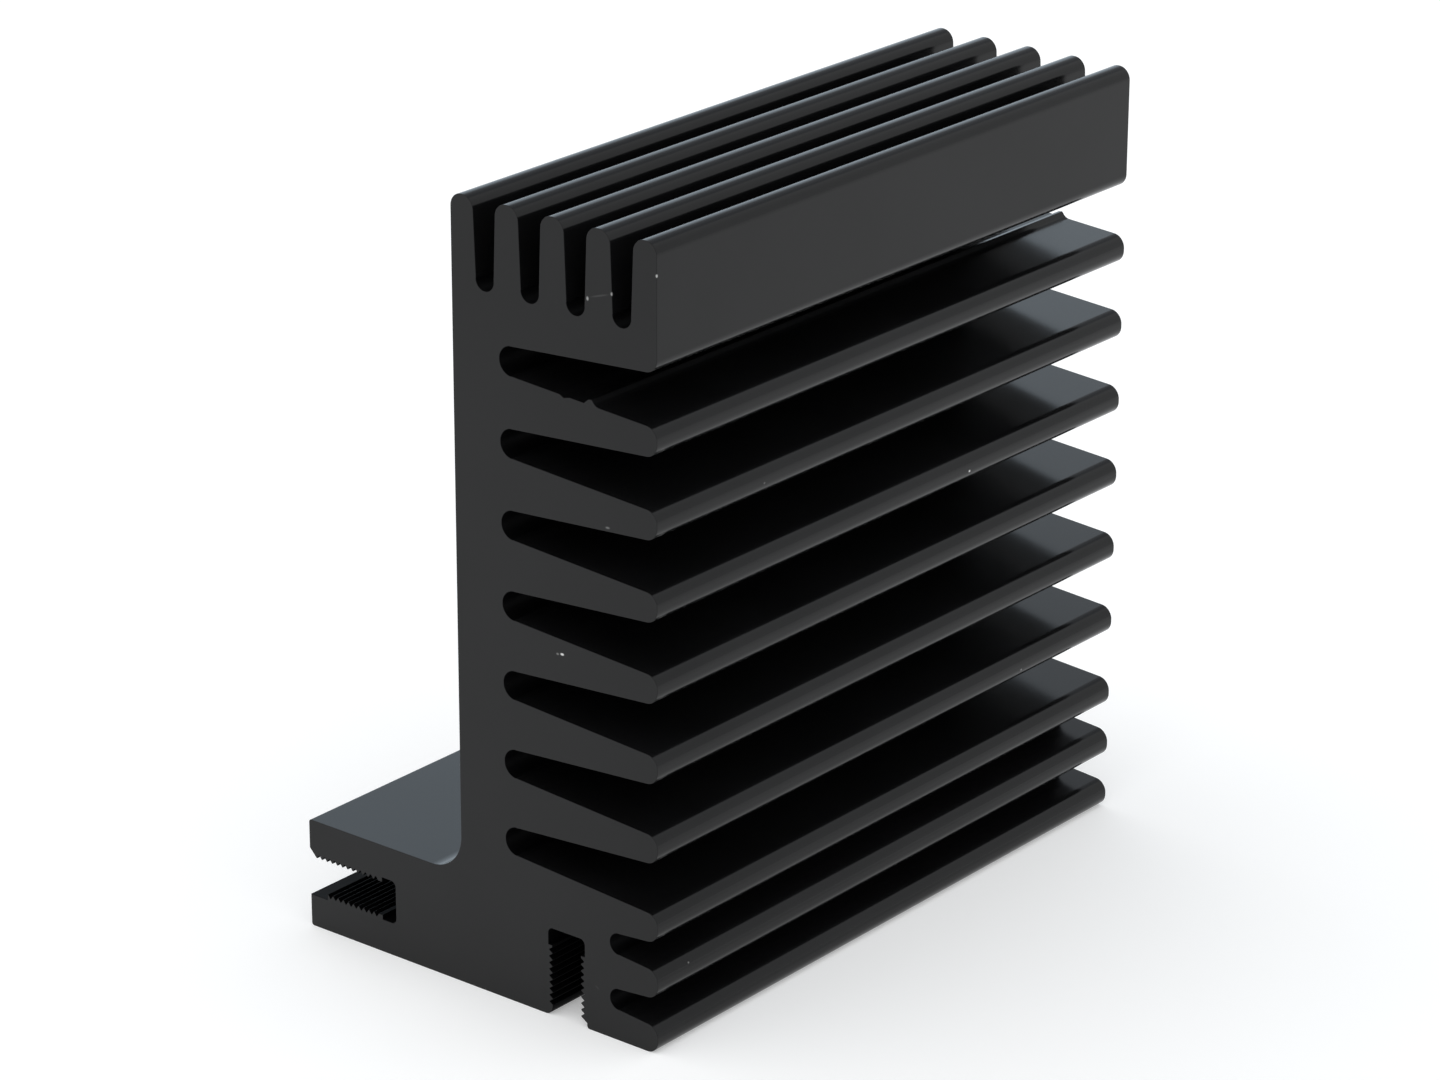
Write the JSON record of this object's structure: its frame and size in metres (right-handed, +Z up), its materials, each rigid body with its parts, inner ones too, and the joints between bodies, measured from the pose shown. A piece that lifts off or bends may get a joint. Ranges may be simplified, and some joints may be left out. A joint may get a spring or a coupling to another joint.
{
  "type": "extruded heat sink",
  "caption": "Black anodised aluminium extrusion with a flat device wall, long side fins, upright top fins and a flanged foot with two ribbed screw channels.",
  "frame": {"origin": "middle of the underside of the foot, at the middle of the extrusion's length", "axes": "+Z up along the device wall, +X from the flange's edge towards the fin tips, +Y along the extrusion"},
  "size_m": [0.0454, 0.075, 0.0817],
  "materials": {
    "black_anodised_aluminium": "satin black anodised"
  },
  "bodies": {
    "root": {"heat_sink": "black_anodised_aluminium"}
  },
  "joints": []
}
